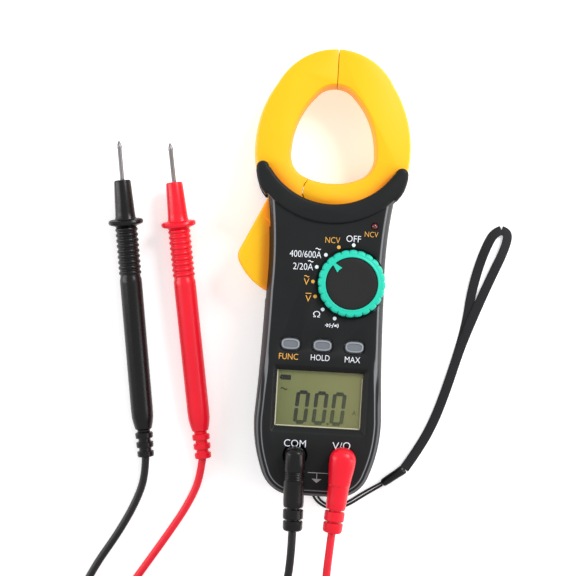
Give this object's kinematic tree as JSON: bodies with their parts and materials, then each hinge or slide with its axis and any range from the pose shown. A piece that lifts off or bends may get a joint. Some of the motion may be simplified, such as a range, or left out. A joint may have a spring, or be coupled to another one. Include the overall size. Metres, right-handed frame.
{
  "type": "digital multimeter",
  "caption": "Clamp-type digital multimeter with a hinged sensing jaw, rotary selector, three keys, two plug-in test leads with probes and a wrist strap.",
  "frame": {"origin": "on the flat back the meter rests on, on the case's centre line and half way along its length", "axes": "+Z out of the dial face, +Y along the meter toward the jaws, +X to the right as the dial is read"},
  "size_m": [0.1931, 0.3176, 0.0426],
  "materials": {
    "case_black": "fine satin",
    "steel": "plain",
    "clear_plastic": "polished",
    "lcd_glass": "polished",
    "white_plastic": "satin",
    "elastomer": "matt",
    "circuit_board": "solder mask",
    "chip_epoxy": "matt",
    "brass": "plain",
    "battery_wrap": "foil wrap",
    "red_lens": "clear tinted",
    "jaw_yellow": "satin",
    "core_iron": "plain",
    "copper_wire": "enamelled",
    "knob_teal": "satin",
    "knob_black": "satin",
    "button_grey": "matt",
    "lead_black": "satin",
    "lead_red": "satin",
    "nickel": "plated",
    "strap_nylon": "woven"
  },
  "bodies": {
    "meter": {"front_case": "case_black", "rear_case": "case_black", "battery_cover": "case_black", "case_screws": "steel", "battery_cover_screw": "steel", "jaw_pivot_pin": "steel", "detent_ball": "steel", "detent_spring": "steel", "battery_contacts": "steel", "display_window": "clear_plastic", "lcd_panel": "lcd_glass", "lcd_frame": "white_plastic", "zebra_strips": "elastomer", "main_board": "circuit_board", "circuit_chips": "chip_epoxy", "tact_switches": "chip_epoxy", "buzzer": "chip_epoxy", "input_jacks": "brass", "battery_cells": "battery_wrap", "status_led": "red_lens", "fixed_jaw_front_shell": "jaw_yellow", "fixed_jaw_rear_shell": "jaw_yellow", "fixed_jaw_core": "core_iron", "fixed_jaw_winding": "copper_wire", "black_lead_plug_end": "lead_black", "black_lead_coil": "lead_black", "black_lead_probe_end": "lead_black", "black_probe_handle": "lead_black", "red_lead_plug_end": "lead_red", "red_lead_coil": "lead_red", "red_lead_probe_end": "lead_red", "red_probe_handle": "lead_red", "black_probe_tip": "nickel", "red_probe_tip": "nickel", "strap_string": "strap_nylon", "strap_sleeve": "strap_nylon", "strap_webbing": "strap_nylon"},
    "moving_jaw": {"moving_jaw_front_shell": "jaw_yellow", "moving_jaw_rear_shell": "jaw_yellow", "moving_jaw_core": "core_iron", "moving_jaw_winding": "copper_wire", "trigger": "jaw_yellow", "jaw_return_spring": "steel"},
    "knob": {"knob_ring": "knob_teal", "knob_cap": "knob_black", "knob_rotor": "white_plastic", "contact_wipers": "brass", "knob_screw": "steel"},
    "func_key": {"func_button": "button_grey"},
    "hold_key": {"hold_button": "button_grey"},
    "max_key": {"max_button": "button_grey"},
    "black_plug": {"black_plug_body": "lead_black", "black_plug_pin": "nickel"},
    "red_plug": {"red_plug_body": "lead_red", "red_plug_pin": "nickel"}
  },
  "joints": [
    {"name": "jaw_opening", "type": "hinge", "parent": "meter", "child": "moving_jaw", "pos_m": [-0.0214, 0.03, 0.015], "axis": [0, 0, 1], "range_deg": [0, 21], "stiffness_Nm_per_rad": 0.8, "springref_deg": -20.05},
    {"name": "knob_turn", "type": "hinge", "parent": "meter", "child": "knob", "pos_m": [0.0114, -0.0041, 0.03], "axis": [0, 0, 1], "range_deg": [-45, 112.5]},
    {"name": "func_press", "type": "slide", "parent": "meter", "child": "func_key", "axis": [0, 0, -1], "range_m": [0, 0.0008], "stiffness_N_per_m": 1500, "springref_m": -0.0005},
    {"name": "hold_press", "type": "slide", "parent": "meter", "child": "hold_key", "axis": [0, 0, -1], "range_m": [0, 0.0008], "stiffness_N_per_m": 1500, "springref_m": -0.0005},
    {"name": "max_press", "type": "slide", "parent": "meter", "child": "max_key", "axis": [0, 0, -1], "range_m": [0, 0.0008], "stiffness_N_per_m": 1500, "springref_m": -0.0005},
    {"name": "black_plug_pull", "type": "slide", "parent": "meter", "child": "black_plug", "axis": [0, 0, 1], "range_m": [0, 0.018]},
    {"name": "red_plug_pull", "type": "slide", "parent": "meter", "child": "red_plug", "axis": [0, 0, 1], "range_m": [0, 0.018]}
  ]
}
